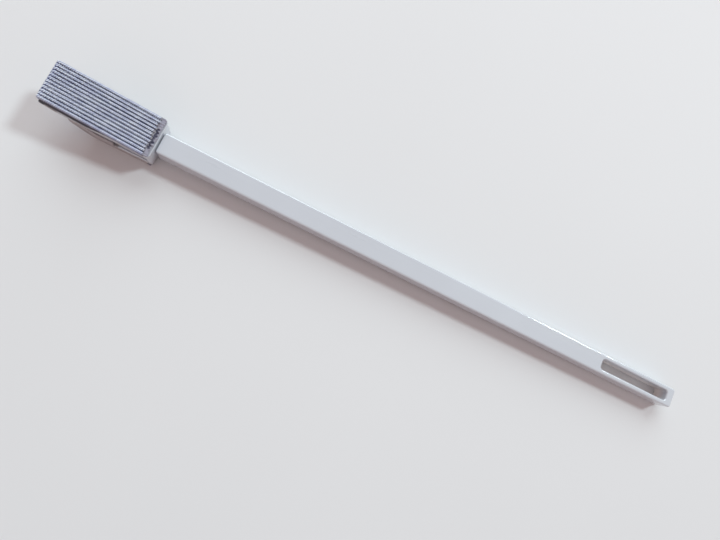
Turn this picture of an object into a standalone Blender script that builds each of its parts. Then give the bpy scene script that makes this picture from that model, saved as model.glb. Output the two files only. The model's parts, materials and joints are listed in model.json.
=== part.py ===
"""Louver cleaner: a square handle with two jaws, each dressed in a ribbed knit cover.

X runs along the tool, from the tip of the head to the end with the hanging slot. Y runs across it.
Z is up, from the face that the lower cover turns to the table.
"""

import math

import bpy
from mathutils import Matrix, Vector

MM = 0.001

# Layout along the tool
TIP_X = -185.4 * MM
END_X = 185.4 * MM
SHOULDER_X = -130.9 * MM
HEM_X = -132.5 * MM

# Clearances
FIT = 0.3 * MM
LAYER_GAP = 0.2 * MM
FLEX_GAP = 0.6 * MM
MOUTH_GAP = 0.8 * MM

# Handle
HANDLE_WIDTH = 11.2 * MM
HANDLE_HEIGHT = 11.0 * MM
HANDLE_BOTTOM = 2.8 * MM
HANDLE_EDGE = 0.9 * MM
HANDLE_END_CORNER = 1.5 * MM
HANDLE_NECK_CORNER = 1.2 * MM
SLOT_LENGTH = 44.9 * MM
SLOT_WIDTH = 6.0 * MM
SLOT_END_WALL = 4.6 * MM
SLOT_CORNER = 1.6 * MM
SLOT_RIM = 0.8 * MM
TONGUE_LENGTH = 15.9 * MM
TONGUE_WIDTH = 10.0 * MM
TONGUE_BOTTOM = 7.3 * MM
TONGUE_HEIGHT = 2.9 * MM

# Upper jaw, measured along its slope and square to it, from the plate's top face at the hem
UPPER_SLOPE = math.radians(7.5)
UPPER_TOP_AT_HEM = 16.15 * MM
UPPER_PLATE = 2.6 * MM
UPPER_HALF_WIDTH = 10.85 * MM
UPPER_NOSE_TAPER = 6.5 * MM
UPPER_NOSE_EDGE = 1.1 * MM
BOSS_SINK = 1.0 * MM

# Lower jaw, a plate that runs flat and then turns up to the upper jaw
LOWER_PLATE = 2.2 * MM
LOWER_HALF_WIDTH = 10.3 * MM
LOWER_BEND = math.radians(49.8)
LOWER_BEND_X = -161.96 * MM
LOWER_ROOT_LENGTH = 2.1 * MM
LOWER_ROOT_BOTTOM = 2.2 * MM
LOWER_BEND_RADIUS = 4.0 * MM

# Both plates are narrower in the nose, so that the knit hides their edges there
NOSE_HALF_WIDTH = 9.3 * MM
PLATE_EDGE = 0.4 * MM
EDGE_CORNER = 0.45 * MM
NECK_CORNER = 2.5 * MM
UPPER_NARROW_X = -177.0 * MM
LOWER_NARROW_X = -160.0 * MM
NARROWING = 1.5 * MM

# Knit covers, with ribs that run along the jaws
RIB_COUNT = 12
RIB_PITCH = 1.77 * MM
RIB_DEPTH = 0.5 * MM
KNIT = 1.9 * MM
UPPER_KNIT_BACK = 18.5 * MM
LOWER_KNIT_BACK_X = -149.0 * MM
HEM_LENGTH = 1.6 * MM
HEM_EDGE = 0.6 * MM
HEM_SIDE_EDGE = 0.3 * MM
NOSE_OVERHANG = 1.868 * MM
COVER_FOLD = 0.6 * MM
TAPER_BEND = 3.0 * MM

# Foam pads
FOAM = 1.0 * MM
FOAM_HALF_WIDTH = 9.6 * MM
FOAM_INSET = 3.0 * MM
UPPER_FOAM_NOSE_INSET = 1.0 * MM
LOWER_FOAM_NOSE_INSET = 2.0 * MM

# Screws, placed from the front end of the tongue
SCREW_FROM_TONGUE_END = (10.0 * MM, 4.0 * MM)
SCREW_HEAD_RADIUS = 2.1 * MM
SCREW_HEAD_HEIGHT = 1.3 * MM
SCREW_HEAD_BOTTOM = 14.7 * MM
SCREW_HEAD_EDGE = 0.35 * MM
SHANK_IN_HEAD = 0.4 * MM
SCREW_RADIUS = 1.2 * MM
SCREW_TIP = 7.7 * MM
CROSS_LENGTH = 2.4 * MM
CROSS_WIDTH = 0.6 * MM
CROSS_DEPTH = 0.7 * MM

# Cutters run past what they cut by this much
CUT_SPARE = 3.0 * MM
CUT_TOP = 40.0 * MM

WELD_REACH = 0.001 * MM
RIM_REACH = 0.1 * MM

ARC_STEP = math.radians(13)
RIM_STEPS = 4
ROUND_SIDES = 32

UPPER_BACK_LAYER = UPPER_PLATE + LAYER_GAP + FOAM + LAYER_GAP
LOWER_FRONT_LAYER = LOWER_PLATE / 2 + LAYER_GAP + FOAM + LAYER_GAP
LOWER_BACK_LAYER = LOWER_PLATE / 2 + LAYER_GAP
LOWER_CENTRE_Z = LOWER_FRONT_LAYER + KNIT
KNIT_HALF_WIDTH = RIB_COUNT * RIB_PITCH / 2
TONGUE_END_X = SHOULDER_X + FIT - TONGUE_LENGTH
SCREW_XS = tuple(TONGUE_END_X + distance for distance in SCREW_FROM_TONGUE_END)


def clear_scene():
    """Removes everything that the startup scene holds."""
    for thing in list(bpy.data.objects):
        bpy.data.objects.remove(thing, do_unlink=True)


def collection(name, hidden=False):
    """A new collection in the scene."""
    made = bpy.data.collections.new(name)
    made.hide_render = hidden
    bpy.context.scene.collection.children.link(made)
    return made


def finish(name, colour, roughness, metallic=0.0):
    """A plain Principled material."""
    material = bpy.data.materials.new(name)
    material.use_nodes = True
    shader = material.node_tree.nodes["Principled BSDF"]
    shader.inputs["Base Color"].default_value = (*colour, 1.0)
    shader.inputs["Roughness"].default_value = roughness
    shader.inputs["Metallic"].default_value = metallic
    return material


def white_plastic(name):
    """Glossy white moulded plastic."""
    return finish(name + "_plastic", (0.86, 0.87, 0.88), 0.32)


def knit(name):
    """Grey-blue ribbed microfibre knit."""
    return finish(name + "_knit", (0.30, 0.34, 0.46), 0.95)


def binding(name):
    """The folded and sewn edge of a cover."""
    return finish(name + "_binding", (0.33, 0.34, 0.42), 0.95)


def foam(name):
    """Soft grey foam."""
    return finish(name + "_foam", (0.55, 0.56, 0.58), 0.9)


def steel(name):
    """Bright screw steel."""
    return finish(name + "_steel", (0.62, 0.63, 0.65), 0.3, 1.0)


def fillet(before, corner, after, radius):
    """Points of the arc that rounds one corner of a line."""
    back = (before - corner).normalized()
    ahead = (after - corner).normalized()
    half = back.angle(ahead) / 2
    centre = corner + (back + ahead).normalized() * (radius / math.sin(half))
    spoke = corner + back * (radius / math.tan(half)) - centre
    turn = math.pi - 2 * half
    if back.cross(ahead) > 0:
        turn = -turn
    steps = max(2, math.ceil(abs(turn) / ARC_STEP))
    return [centre + Matrix.Rotation(turn * i / steps, 2) @ spoke for i in range(steps + 1)]


def rounded(points, radii, closed=False):
    """A line through these points, each corner rounded by its own radius. A radius of 0 leaves it sharp."""
    line = []
    last = len(points) - 1
    for i, point in enumerate(points):
        if radii[i] <= 0 or (not closed and i in (0, last)):
            line.append(point)
        else:
            line += fillet(points[i - 1], point, points[(i + 1) % len(points)], radii[i])
    return line


def on_upper(along, above):
    """A point of the upper jaw's slope, in the XZ plane."""
    slope_x = -math.cos(UPPER_SLOPE) * along + math.sin(UPPER_SLOPE) * above
    slope_z = math.sin(UPPER_SLOPE) * along + math.cos(UPPER_SLOPE) * above
    return Vector((HEM_X + slope_x, UPPER_TOP_AT_HEM + slope_z))


def lower_corner(out):
    """The corner of the lower jaw's line, moved out by this much from the middle of its plate."""
    return Vector((LOWER_BEND_X - out * math.tan(LOWER_BEND / 2), LOWER_CENTRE_Z - out))


def lower_nose(out, height):
    """The point at this height on the turned-up part of the lower jaw's line."""
    corner = lower_corner(out)
    return Vector((corner.x - (height - corner.y) / math.tan(LOWER_BEND), height))


def poly_curve(name, points, closed):
    """Curve data with one straight-sided line."""
    data = bpy.data.curves.new(name, "CURVE")
    spline = data.splines.new("POLY")
    spline.points.add(len(points) - 1)
    for place, point in zip(spline.points, points):
        place.co = (*point, 1.0)
    spline.use_cyclic_u = closed
    return data


def meshed(name, data, turn, target):
    """The mesh object of a curve, turned about X."""
    guide = bpy.data.objects.new(name + "_guide", data)
    target.objects.link(guide)
    guide.matrix_world = Matrix.Rotation(turn, 4, "X")
    bpy.context.view_layer.update()
    graph = bpy.context.evaluated_depsgraph_get()
    mesh = bpy.data.meshes.new_from_object(guide.evaluated_get(graph), depsgraph=graph)
    mesh.transform(guide.matrix_world)
    mesh.name = name
    bpy.data.objects.remove(guide)
    made = bpy.data.objects.new(name, mesh)
    target.objects.link(made)
    weld = made.modifiers.new("weld", "WELD")
    weld.merge_threshold = WELD_REACH
    return made


def bar(name, outline, half_width, edge, target):
    """A bar across the tool, with this outline in the XZ plane and softened ends."""
    data = poly_curve(name, [(p.x, p.y, 0.0) for p in outline], True)
    data.dimensions = "2D"
    data.fill_mode = "BOTH"
    data.extrude = half_width - edge
    data.bevel_depth = edge
    data.bevel_resolution = 2 if edge > 0 else 0
    data.offset = -edge
    return meshed(name, data, math.pi / 2, target)


def column(name, outline, low, high, target, edge=0.0):
    """A column with this outline in the XY plane, between two heights, with rounded ends."""
    data = poly_curve(name, [(p.x, p.y, 0.0) for p in outline], True)
    data.dimensions = "2D"
    data.fill_mode = "BOTH"
    data.extrude = (high - low) / 2 - edge
    data.bevel_depth = edge
    data.bevel_resolution = 3 if edge > 0 else 0
    data.offset = -edge
    made = meshed(name, data, 0.0, target)
    made.location.z = (high + low) / 2
    return made


def lofted(name, rings, target):
    """A closed solid through rings of points, the lowest ring first."""
    count = len(rings[0])
    points = [point for ring in rings for point in ring]
    faces = [tuple(reversed(range(count)))]
    for level in range(len(rings) - 1):
        low = level * count
        for i in range(count):
            j = (i + 1) % count
            faces.append((low + i, low + j, low + count + j, low + count + i))
    faces.append(tuple(range(len(points) - count, len(points))))
    mesh = bpy.data.meshes.new(name)
    mesh.from_pydata(points, [], faces)
    made = bpy.data.objects.new(name, mesh)
    target.objects.link(made)
    return made


def block(name, low, high, target):
    """A box between two corners."""
    bpy.ops.mesh.primitive_cube_add(size=1.0)
    made = bpy.context.object
    made.name = name
    made.data.name = name
    low = Vector(low)
    high = Vector(high)
    size = high - low
    made.data.transform(Matrix.Translation((low + high) / 2) @ Matrix.Diagonal((*size, 1.0)))
    move_to(made, target)
    return made


def rod(name, x, radius, low, high, target):
    """A round upright rod on the tool's middle line."""
    bpy.ops.mesh.primitive_cylinder_add(vertices=ROUND_SIDES, radius=radius, depth=high - low)
    made = bpy.context.object
    made.name = name
    made.data.name = name
    made.data.transform(Matrix.Translation((x, 0.0, (low + high) / 2)))
    move_to(made, target)
    return made


def move_to(thing, target):
    """Leaves the object in this collection only."""
    for held in list(thing.users_collection):
        held.objects.unlink(thing)
    target.objects.link(thing)


def soften(thing, width, segments, angle):
    """Rounds the edges that are sharper than this angle."""
    bevel = thing.modifiers.new("soften", "BEVEL")
    bevel.width = width
    bevel.segments = segments
    bevel.limit_method = "ANGLE"
    bevel.angle_limit = angle


def combine(thing, other, operation):
    """Cuts, adds or intersects another mesh."""
    boolean = thing.modifiers.new(operation.lower(), "BOOLEAN")
    boolean.operation = operation
    boolean.object = other
    boolean.solver = "EXACT"


def colour(thing, material):
    """Gives an object its only material."""
    thing.data.materials.clear()
    thing.data.materials.append(material)


def band(along_low, along_high, above_low, above_high):
    """A four-cornered outline on the upper jaw's slope."""
    return [
        on_upper(along_low, above_low),
        on_upper(along_high, above_low),
        on_upper(along_high, above_high),
        on_upper(along_low, above_high),
    ]


def plan_outline(wide, narrow_x):
    """A jaw from above: rounded at the neck, full width, and narrower from this point to the nose."""
    start = TIP_X - CUT_SPARE
    rear = SHOULDER_X + CUT_SPARE
    centre_x = SHOULDER_X - NECK_CORNER
    centre_y = wide - NECK_CORNER
    clear = wide + CUT_SPARE
    arc = []
    steps = 6
    for i in range(steps + 1):
        angle = math.pi / 2 * (1 - i / steps)
        arc.append((centre_x + NECK_CORNER * math.cos(angle), centre_y + NECK_CORNER * math.sin(angle)))
    nose = [(start, NOSE_HALF_WIDTH), (narrow_x, NOSE_HALF_WIDTH), (narrow_x + NARROWING, wide)]
    side = nose + [(narrow_x + NARROWING, clear), (centre_x, clear)] + arc + [(rear, centre_y)]
    other = [(x, -y) for x, y in reversed(side)]
    return [Vector(point) for point in side + other]


def slot_outline(wider, height):
    """The hanging slot's outline at this height, made wider all round."""
    side = SLOT_WIDTH / 2 + wider
    slot_end = END_X - SLOT_END_WALL + wider
    slot_start = END_X - SLOT_END_WALL - SLOT_LENGTH - wider
    corners = [(slot_start, -side), (slot_end, -side), (slot_end, side), (slot_start, side)]
    outline = rounded([Vector(p) for p in corners], [SLOT_CORNER + wider] * 4, True)
    return [(p.x, p.y, height) for p in outline]


def slot_cutter(cutters):
    """The hanging slot's shape, which flares at both faces of the bar to leave round rims."""
    rim = []
    for i in range(1, RIM_STEPS + 1):
        angle = math.pi / 2 * i / RIM_STEPS
        rim.append((SLOT_RIM * (1 - math.cos(angle)), SLOT_RIM * (1 - math.sin(angle))))
    depth, wider = rim[0]
    outside = SLOT_RIM + (SLOT_RIM - wider) / depth * RIM_REACH
    levels = [(-CUT_SPARE, outside), (-RIM_REACH, outside)] + rim
    top = HANDLE_BOTTOM + HANDLE_HEIGHT
    low_rings = [slot_outline(wider, HANDLE_BOTTOM + depth) for depth, wider in levels]
    high_rings = [slot_outline(wider, top - depth) for depth, wider in reversed(levels)]
    return lofted("slot_cutter", low_rings + high_rings, cutters)


def make_handle(parts, cutters):
    """The square bar, its hanging slot, and the tongue that both jaws' roots meet."""
    half = HANDLE_WIDTH / 2
    front = SHOULDER_X + FIT
    top = HANDLE_BOTTOM + HANDLE_HEIGHT
    plan = [Vector(p) for p in ((front, -half), (END_X, -half), (END_X, half), (front, half))]
    radii = [HANDLE_NECK_CORNER, HANDLE_END_CORNER, HANDLE_END_CORNER, HANDLE_NECK_CORNER]
    handle = column("handle", rounded(plan, radii, True), HANDLE_BOTTOM, top, parts, HANDLE_EDGE)
    combine(handle, slot_cutter(cutters), "DIFFERENCE")
    low = (TONGUE_END_X, -TONGUE_WIDTH / 2, TONGUE_BOTTOM)
    high = (front + CUT_SPARE, TONGUE_WIDTH / 2, TONGUE_BOTTOM + TONGUE_HEIGHT)
    combine(handle, block("tongue", low, high, cutters), "UNION")
    hole_low = TONGUE_BOTTOM - CUT_SPARE
    hole_high = high[2] + CUT_SPARE
    for number, x in enumerate(SCREW_XS, 1):
        hole = rod(f"tongue_hole_{number}", x, SCREW_RADIUS + FIT, hole_low, hole_high, cutters)
        combine(handle, hole, "DIFFERENCE")
    colour(handle, white_plastic("handle"))


def upper_nose_reach():
    """How far the upper cover's inner face runs along the slope, so that the knit ends at the tip."""
    end_face = on_upper(0, -LAYER_GAP - UPPER_NOSE_EDGE)
    reach = (end_face.x - TIP_X) / math.cos(UPPER_SLOPE)
    return reach - NOSE_OVERHANG


def make_upper_jaw(parts, cutters):
    """The sloping plate, the shoulder that stands astride the tongue, and the boss that sits on it."""
    reach = upper_nose_reach() - LAYER_GAP
    root = TONGUE_BOTTOM + TONGUE_HEIGHT + FIT
    top_rear = Vector((SHOULDER_X, UPPER_TOP_AT_HEM))
    plate_outline = [
        top_rear,
        on_upper(0, 0),
        on_upper(reach, 0),
        on_upper(reach, -UPPER_NOSE_EDGE),
        on_upper(reach - UPPER_NOSE_TAPER, -UPPER_PLATE),
        Vector((HEM_X, on_upper(0, -UPPER_PLATE).y)),
        Vector((HEM_X, TONGUE_BOTTOM)),
        Vector((SHOULDER_X, TONGUE_BOTTOM)),
    ]
    corner = EDGE_CORNER
    outline = rounded(plate_outline, [corner, 0, corner, corner, 0, 0, corner, corner], True)
    jaw = bar("upper_jaw", outline, UPPER_HALF_WIDTH, PLATE_EDGE, parts)
    plan = column("upper_jaw_plan", plan_outline(UPPER_HALF_WIDTH, UPPER_NARROW_X), 0, CUT_TOP, cutters)
    combine(jaw, plan, "INTERSECT")
    half = TONGUE_WIDTH / 2
    way_low = (HEM_X - CUT_SPARE, -half - FIT, TONGUE_BOTTOM - CUT_SPARE)
    way_high = (SHOULDER_X + CUT_SPARE, half + FIT, root)
    combine(jaw, block("tongue_way", way_low, way_high, cutters), "DIFFERENCE")
    boss_low = (TONGUE_END_X, -half, root)
    boss_high = (HEM_X + BOSS_SINK, half, UPPER_TOP_AT_HEM - BOSS_SINK)
    combine(jaw, block("upper_boss", boss_low, boss_high, cutters), "UNION")
    seat_low = SCREW_HEAD_BOTTOM - FIT
    for number, x in enumerate(SCREW_XS, 1):
        hole = rod(f"jaw_hole_{number}", x, SCREW_RADIUS + FIT, root - CUT_SPARE, CUT_TOP, cutters)
        seat = rod(f"jaw_seat_{number}", x, SCREW_HEAD_RADIUS + FIT, seat_low, CUT_TOP, cutters)
        combine(jaw, hole, "DIFFERENCE")
        combine(jaw, seat, "DIFFERENCE")
    colour(jaw, white_plastic("upper_jaw"))


def mouth_height():
    """How high the lower cover's nose reaches: its middle line meets the upper cover, less the gap."""
    under = on_upper(0, -UPPER_BACK_LAYER - KNIT - MOUTH_GAP)
    corner = lower_corner(0)
    rise = math.tan(UPPER_SLOPE)
    lean = math.tan(LOWER_BEND)
    return (under.y + (under.x - corner.x - corner.y / lean) * rise) / (1 - rise / lean)


def make_lower_jaw(parts, cutters):
    """The springy plate under the mouth, with its root against the front of the handle."""
    half = LOWER_PLATE / 2
    nose_top = mouth_height() - KNIT - LAYER_GAP
    rear = SHOULDER_X - FLEX_GAP
    root_front = rear - LOWER_ROOT_LENGTH
    root_top = TONGUE_BOTTOM - FIT
    points = [
        Vector((rear, root_top)),
        Vector((root_front, root_top)),
        Vector((root_front, LOWER_CENTRE_Z + half)),
        lower_corner(-half),
        lower_nose(-half, nose_top),
        lower_nose(half, nose_top),
        lower_corner(half),
        Vector((root_front, LOWER_CENTRE_Z - half)),
        Vector((root_front, LOWER_ROOT_BOTTOM)),
        Vector((rear, LOWER_ROOT_BOTTOM)),
    ]
    bend = LOWER_BEND_RADIUS
    corner = EDGE_CORNER
    radii = [corner, corner, 0, bend, corner, corner, bend + LOWER_PLATE, 0, corner, corner]
    jaw = bar("lower_jaw", rounded(points, radii, True), LOWER_HALF_WIDTH, PLATE_EDGE, parts)
    outline = plan_outline(LOWER_HALF_WIDTH, LOWER_NARROW_X)
    plan = column("lower_jaw_plan", outline, -CUT_SPARE, CUT_TOP, cutters)
    combine(jaw, plan, "INTERSECT")
    colour(jaw, white_plastic("lower_jaw"))


def rib_section(cutters):
    """Across a cover: flat against the jaw, and ribbed on the outside."""
    steps = RIB_COUNT * 4
    ribs = []
    for i in range(steps + 1):
        dip = RIB_DEPTH * (1 + math.cos(math.pi * i / 2)) / 2
        ribs.append((-KNIT_HALF_WIDTH + i * RIB_PITCH / 4, KNIT - dip, 0.0))
    flat = [(KNIT_HALF_WIDTH, 0.0, 0.0), (-KNIT_HALF_WIDTH, 0.0, 0.0)]
    section = bpy.data.objects.new("rib_section", poly_curve("rib_section", ribs + flat, True))
    section.data.dimensions = "2D"
    section.data.fill_mode = "NONE"
    cutters.objects.link(section)
    return section


def make_cover(name, line, section, parts):
    """A knit cover that follows this line, on the jaw's side of the knit."""
    data = poly_curve(name, [(p.x, 0.0, p.y) for p in line], False)
    data.dimensions = "3D"
    data.bevel_mode = "OBJECT"
    data.bevel_object = section
    data.use_fill_caps = True
    data.twist_mode = "MINIMUM"
    made = meshed(name, data, 0.0, parts)
    colour(made, knit(name))


def make_hem(name, outline, parts):
    """The rounded, folded end of a cover."""
    hem = bar(name, rounded(outline, [HEM_EDGE] * 4, True), KNIT_HALF_WIDTH, HEM_SIDE_EDGE, parts)
    colour(hem, binding(name))


def dress_upper(parts, section):
    """The upper jaw's foam, knit and hems."""
    reach = upper_nose_reach()
    back = UPPER_KNIT_BACK
    under = -UPPER_BACK_LAYER
    points = [
        on_upper(HEM_LENGTH + LAYER_GAP, LAYER_GAP),
        on_upper(reach, LAYER_GAP),
        on_upper(reach, -UPPER_NOSE_EDGE - LAYER_GAP),
        on_upper(reach - UPPER_NOSE_TAPER, under),
        on_upper(back + HEM_LENGTH + LAYER_GAP, under),
    ]
    line = rounded(points, [0, COVER_FOLD, COVER_FOLD, TAPER_BEND, 0])
    make_cover("upper_cover", line, section, parts)
    make_hem("upper_outer_hem", band(0, HEM_LENGTH, LAYER_GAP, LAYER_GAP + KNIT), parts)
    make_hem("upper_inner_hem", band(back, back + HEM_LENGTH, under - KNIT, under), parts)
    pad_end = reach - UPPER_NOSE_TAPER - UPPER_FOAM_NOSE_INSET
    pad = band(back + FOAM_INSET, pad_end, under + LAYER_GAP, under + LAYER_GAP + FOAM)
    made = bar("upper_foam", pad, FOAM_HALF_WIDTH, 0.0, parts)
    colour(made, foam("upper_foam"))


def level(x_low, x_high, z_low, z_high):
    """A four-cornered outline with level sides."""
    return [Vector(p) for p in ((x_low, z_low), (x_high, z_low), (x_high, z_high), (x_low, z_high))]


def dress_lower(parts, section):
    """The lower jaw's foam, knit and hems."""
    front = LOWER_FRONT_LAYER
    back = -LOWER_BACK_LAYER
    top = mouth_height() - KNIT
    inner_x = LOWER_KNIT_BACK_X
    points = [
        Vector((inner_x - HEM_LENGTH - LAYER_GAP, LOWER_CENTRE_Z - back)),
        lower_corner(back),
        lower_nose(back, top),
        lower_nose(front, top),
        lower_corner(front),
        Vector((HEM_X - HEM_LENGTH - LAYER_GAP, LOWER_CENTRE_Z - front)),
    ]
    inner_bend = LOWER_BEND_RADIUS - LAYER_GAP
    outer_bend = LOWER_BEND_RADIUS + LOWER_PLATE / 2 + front
    line = rounded(points, [0, inner_bend, COVER_FOLD, COVER_FOLD, outer_bend, 0])
    make_cover("lower_cover", line, section, parts)
    make_hem("lower_outer_hem", level(HEM_X - HEM_LENGTH, HEM_X, 0, KNIT), parts)
    low = LOWER_CENTRE_Z - back
    make_hem("lower_inner_hem", level(inner_x - HEM_LENGTH, inner_x, low, low + KNIT), parts)
    close = LOWER_PLATE / 2 + LAYER_GAP
    far = close + FOAM
    pad_top = top - LOWER_FOAM_NOSE_INSET
    start = HEM_X - FOAM_INSET
    pad = [
        Vector((start, LOWER_CENTRE_Z - close)),
        lower_corner(close),
        lower_nose(close, pad_top),
        lower_nose(far, pad_top),
        lower_corner(far),
        Vector((start, LOWER_CENTRE_Z - far)),
    ]
    bend = LOWER_BEND_RADIUS + LOWER_PLATE / 2 + close
    outline = rounded(pad, [0, bend, 0, 0, bend + FOAM, 0], True)
    made = bar("lower_foam", outline, FOAM_HALF_WIDTH, 0.0, parts)
    colour(made, foam("lower_foam"))


def make_screw(number, x, parts, cutters):
    """A cross-head screw through the upper jaw into the tongue. Its thread isn't modelled."""
    name = f"jaw_screw_{number}"
    head_top = SCREW_HEAD_BOTTOM + SCREW_HEAD_HEIGHT
    screw = rod(name, x, SCREW_HEAD_RADIUS, SCREW_HEAD_BOTTOM, head_top, parts)
    soften(screw, SCREW_HEAD_EDGE, 2, math.radians(60))
    shank_top = SCREW_HEAD_BOTTOM + SHANK_IN_HEAD
    combine(screw, rod(f"{name}_shank", x, SCREW_RADIUS, SCREW_TIP, shank_top, cutters), "UNION")
    floor = head_top - CROSS_DEPTH
    for way, (long, wide) in enumerate(((CROSS_LENGTH, CROSS_WIDTH), (CROSS_WIDTH, CROSS_LENGTH))):
        low = (x - long / 2, -wide / 2, floor)
        high = (x + long / 2, wide / 2, head_top + CUT_SPARE)
        combine(screw, block(f"{name}_cross_{way}", low, high, cutters), "DIFFERENCE")
    colour(screw, steel(name))


def hide(cutters):
    """Keeps the helper shapes out of view."""
    for thing in cutters.objects:
        thing.hide_render = True
        thing.display_type = "WIRE"


def main():
    clear_scene()
    parts = collection("louver_cleaner")
    cutters = collection("louver_cleaner_cutters", hidden=True)
    make_handle(parts, cutters)
    make_upper_jaw(parts, cutters)
    make_lower_jaw(parts, cutters)
    section = rib_section(cutters)
    dress_upper(parts, section)
    dress_lower(parts, section)
    for number, x in enumerate(SCREW_XS, 1):
        make_screw(number, x, parts, cutters)
    hide(cutters)


main()
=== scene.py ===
"""Looks of the louver cleaner: its knit covers, hems, foam and moulded plastic, on a pale table."""

from __future__ import annotations

import json
import logging
import math
from dataclasses import dataclass
from enum import Enum
from typing import Sequence

import bpy
import numpy as np
from mathutils import Matrix, Vector

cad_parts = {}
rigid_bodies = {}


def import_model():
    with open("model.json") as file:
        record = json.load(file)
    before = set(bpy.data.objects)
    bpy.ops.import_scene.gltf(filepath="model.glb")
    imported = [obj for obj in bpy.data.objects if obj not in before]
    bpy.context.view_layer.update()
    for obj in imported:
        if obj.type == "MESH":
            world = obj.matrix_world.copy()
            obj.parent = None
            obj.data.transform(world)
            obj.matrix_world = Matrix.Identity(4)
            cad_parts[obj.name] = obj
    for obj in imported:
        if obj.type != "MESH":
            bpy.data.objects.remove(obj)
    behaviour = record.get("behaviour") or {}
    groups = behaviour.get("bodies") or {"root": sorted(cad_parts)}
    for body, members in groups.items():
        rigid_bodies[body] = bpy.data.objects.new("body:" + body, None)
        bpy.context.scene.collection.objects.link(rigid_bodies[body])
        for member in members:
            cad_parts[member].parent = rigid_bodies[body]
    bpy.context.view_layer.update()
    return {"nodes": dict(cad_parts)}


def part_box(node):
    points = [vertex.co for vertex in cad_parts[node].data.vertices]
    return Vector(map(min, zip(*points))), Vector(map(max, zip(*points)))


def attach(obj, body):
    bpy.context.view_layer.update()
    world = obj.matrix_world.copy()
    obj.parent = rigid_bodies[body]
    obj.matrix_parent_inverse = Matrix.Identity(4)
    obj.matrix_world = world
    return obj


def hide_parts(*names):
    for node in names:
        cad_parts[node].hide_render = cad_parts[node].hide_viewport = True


MM = 0.001
LOG = logging.getLogger("louver_cleaner")

Triple = tuple[float, float, float]
Colour = Triple
Settings = dict[str, object]
Sockets = dict[str | int, object]
Stations = tuple[np.ndarray, np.ndarray, np.ndarray, np.ndarray]

# Sockets of the Mix node that carry colours.
MIX_FIRST = 6
MIX_SECOND = 7
MIX_RESULT = 2

# How finely arcs and lines are divided.
ARC_STEP = math.radians(4)
LEAST_ARC_STEPS = 4
FINE_STEP = 0.03 * MM
TANGENT_REACH = 4

COOL_DAYLIGHT = (0.83, 0.985, 1.0)
WARM_BOUNCE = (1.0, 0.94, 0.91)


class Side(Enum):
    """The two jaws of the head."""

    UPPER = "upper"
    LOWER = "lower"

    @property
    def body(self) -> str:
        """The moving body that the jaw's cover and hems ride on."""
        return "upper_dressing" if self is Side.UPPER else "sprung_jaw"


class End(Enum):
    """The two sewn ends of a cover: at the neck, and inside the mouth."""

    OUTER = "outer"
    INNER = "inner"


class Value:
    """A number that flows through a material, so that node maths reads as Python."""

    def __init__(self, web: Web, socket: bpy.types.NodeSocket) -> None:
        """Wraps one output socket.

        Args:
            web: The nodes that the socket belongs to.
            socket: The output that carries the number.
        """
        self.web = web
        self.socket = socket

    def _maths(self, operation: str, *terms: Value | float) -> Value:
        """Adds a Math node on these terms."""
        return self.web.number("ShaderNodeMath", {"operation": operation}, dict(enumerate(terms)))

    def __add__(self, other: Value | float) -> Value:
        """Sum."""
        return self._maths("ADD", self, other)

    def __sub__(self, other: Value | float) -> Value:
        """Difference."""
        return self._maths("SUBTRACT", self, other)

    def __rsub__(self, other: float) -> Value:
        """Difference from a plain number."""
        return self._maths("SUBTRACT", other, self)

    def __mul__(self, other: Value | float) -> Value:
        """Product."""
        return self._maths("MULTIPLY", self, other)

    __radd__ = __add__
    __rmul__ = __mul__

    def size(self) -> Value:
        """The number without its sign."""
        return self._maths("ABSOLUTE", self)

    def clamped(self) -> Value:
        """The number kept between 0 and 1."""
        return self._maths("MINIMUM", self._maths("MAXIMUM", self, 0.0), 1.0)


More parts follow.
